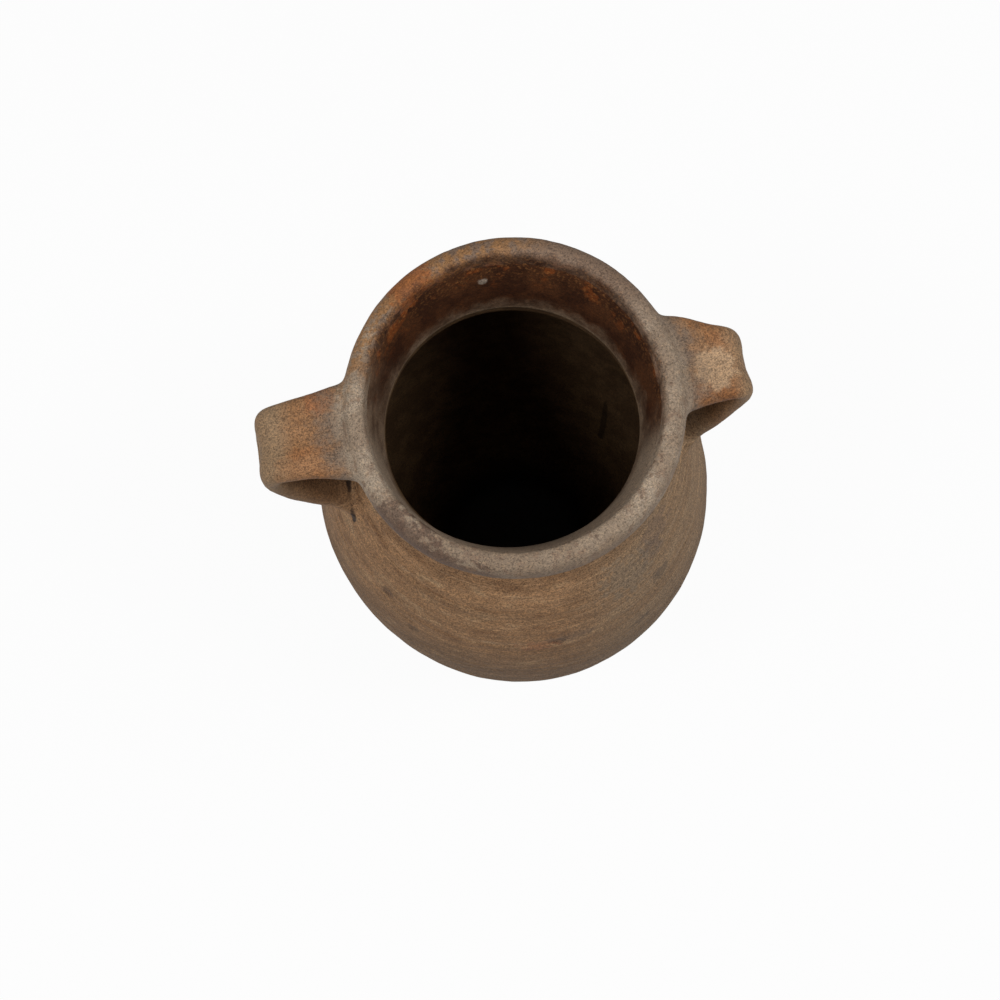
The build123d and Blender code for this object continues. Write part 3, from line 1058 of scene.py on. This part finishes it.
        # Painted shade: near black towards the floor.
        dark = self.stain_and_shade(dark, (20, 14, 10), self.slope(height, 0.040, 0.018))
        dark = self.streaked(dark, DRIP)
        deep = self.slope(height, THROAT_LIP_Z - 0.2 * MM, THROAT_LIP_Z - 2 * MM)
        base = self.between(deep, funnel, dark)
        base, grit_height = self.gritty(base, 1.1, 0.6 * MM)
        self.complete(base, 0.6, 0.2, grit_height, 0.5)
        return self.material


def finish_pieces(pieces):
    groups = {make.__name__: make() for make in (place_on_jar, clay_grain, patch, wheel_lines, streak)}

    def finish(name):
        return Finish(name, groups)

    materials = {
        "body_clay": finish("fired_tan_clay").outer_clay(1.8, 0.80),
        "neck_clay": finish("fired_neck_clay").outer_clay(1.8, 0.80),
        "rim_clay": finish("crusted_rim_clay").outer_clay(1.2, 0.75),
        "handle_clay": finish("flashed_handle_clay").outer_clay(1.5, 0.72, handle=True),
        "collar_clay": finish("luted_collar_clay").outer_clay(1.3, 0.75, handle=True),
        "inner_glaze": finish("dark_inner_glaze").inner_glaze(),
    }
    for piece, slot in pieces:
        piece.data.materials.clear()
        piece.data.materials.append(materials[slot])


# ---------------------------------------------------------------- studio
# Lamps: name, watts, width and place in metres. All of them face the jar's neck.
LAMPS = [
    ("left_softbox", 8.5, 0.32, (-0.64, -0.31, 1.65)),
    ("right_softbox", 8.0, 0.32, (0.63, -0.31, 1.65)),
    ("left_panel", 5.0, 0.6, (-1.15, -0.10, 1.12)),
    ("right_panel", 6.0, 0.6, (1.15, -0.10, 1.12)),
    ("near_softbox", 2.5, 1.0, (0.1, -1.45, 1.10)),
]
LAMP_AIM = (0, 0, 0.33)
AIR_LIGHT = 0.34
PAPER_GREY = 0.55
PAPER_GLOW = 0.95

# The camera's place in millimetres, its turns in degrees and its lens in millimetres.
CAMERA_PLACE = (-31.2, -240.4, 1286.9)
CAMERA_TURNS = (12.095, 0.878, -9.381)
CAMERA_LENS = 72
WHITE = (1, 1, 1, 1)


def lamp(name, watts, size, place):
    data = bpy.data.lights.new(name, "AREA")
    data.energy = watts
    data.shape = "DISK"
    data.size = size
    softbox = add_object(name, data)
    softbox.location = place
    direction = Vector(LAMP_AIM) - Vector(place)
    softbox.rotation_euler = direction.to_track_quat("-Z", "Y").to_euler()


def paper():
    """White paper, which looks evenly lit to the camera."""
    material = bpy.data.materials.new("white_paper")
    material.use_nodes = True
    bench = Bench(material.node_tree)
    shader = material.node_tree.nodes["Principled BSDF"]
    shader.inputs["Base Color"].default_value = (PAPER_GREY, PAPER_GREY, PAPER_GREY, 1)
    shader.inputs["Roughness"].default_value = 0.9
    shader.inputs["Specular IOR Level"].default_value = 0.2
    rays = bench.add("ShaderNodeLightPath").outputs
    seen = bench.maths("MAXIMUM", rays["Is Camera Ray"], rays["Is Glossy Ray"])
    seen = bench.maths("MAXIMUM", seen, rays["Is Transmission Ray"])
    glow = bench.add("ShaderNodeEmission", {"Color": WHITE, "Strength": 1.0}).outputs[0]
    parts = {0: bench.times(seen, PAPER_GLOW), 1: shader.outputs[0], 2: glow}
    mixed = bench.add("ShaderNodeMixShader", parts).outputs[0]
    bench.feed(material.node_tree.nodes["Material Output"].inputs[0], mixed)
    return material


def studio_air():
    """Even light all round, which is white to the camera."""
    world = bpy.data.worlds.new("studio_air")
    bpy.context.scene.world = world
    world.use_nodes = True
    bench = Bench(world.node_tree)
    sky = world.node_tree.nodes["Background"]
    sky.inputs["Color"].default_value = WHITE
    sky.inputs["Strength"].default_value = AIR_LIGHT
    white = bench.add("ShaderNodeBackground", {"Color": WHITE, "Strength": 1.0}).outputs[0]
    is_camera = bench.add("ShaderNodeLightPath").outputs["Is Camera Ray"]
    mixed = bench.add("ShaderNodeMixShader", {0: is_camera, 1: sky.outputs[0], 2: white}).outputs[0]
    bench.feed(world.node_tree.nodes["World Output"].inputs[0], mixed)


def studio():
    """Pale floor and surroundings, soft lamps and the camera almost overhead."""
    deselect()
    bpy.ops.mesh.primitive_plane_add(size=60, location=(0, 0, 0))
    floor = bpy.context.object
    floor.name = "floor"
    floor.data.materials.append(paper())
    studio_air()
    for name, watts, size, place in LAMPS:
        lamp(name, watts, size, place)

    data = bpy.data.cameras.new("camera")
    data.lens = CAMERA_LENS
    data.sensor_width = 36
    camera = add_object("camera", data)
    camera.location = mm_point(*CAMERA_PLACE)
    camera.rotation_euler = [radians(turn) for turn in CAMERA_TURNS]
    bpy.context.scene.camera = camera
    bpy.context.scene.view_settings.view_transform = "Standard"


pieces = build_jar()
finish_pieces(pieces)
studio()
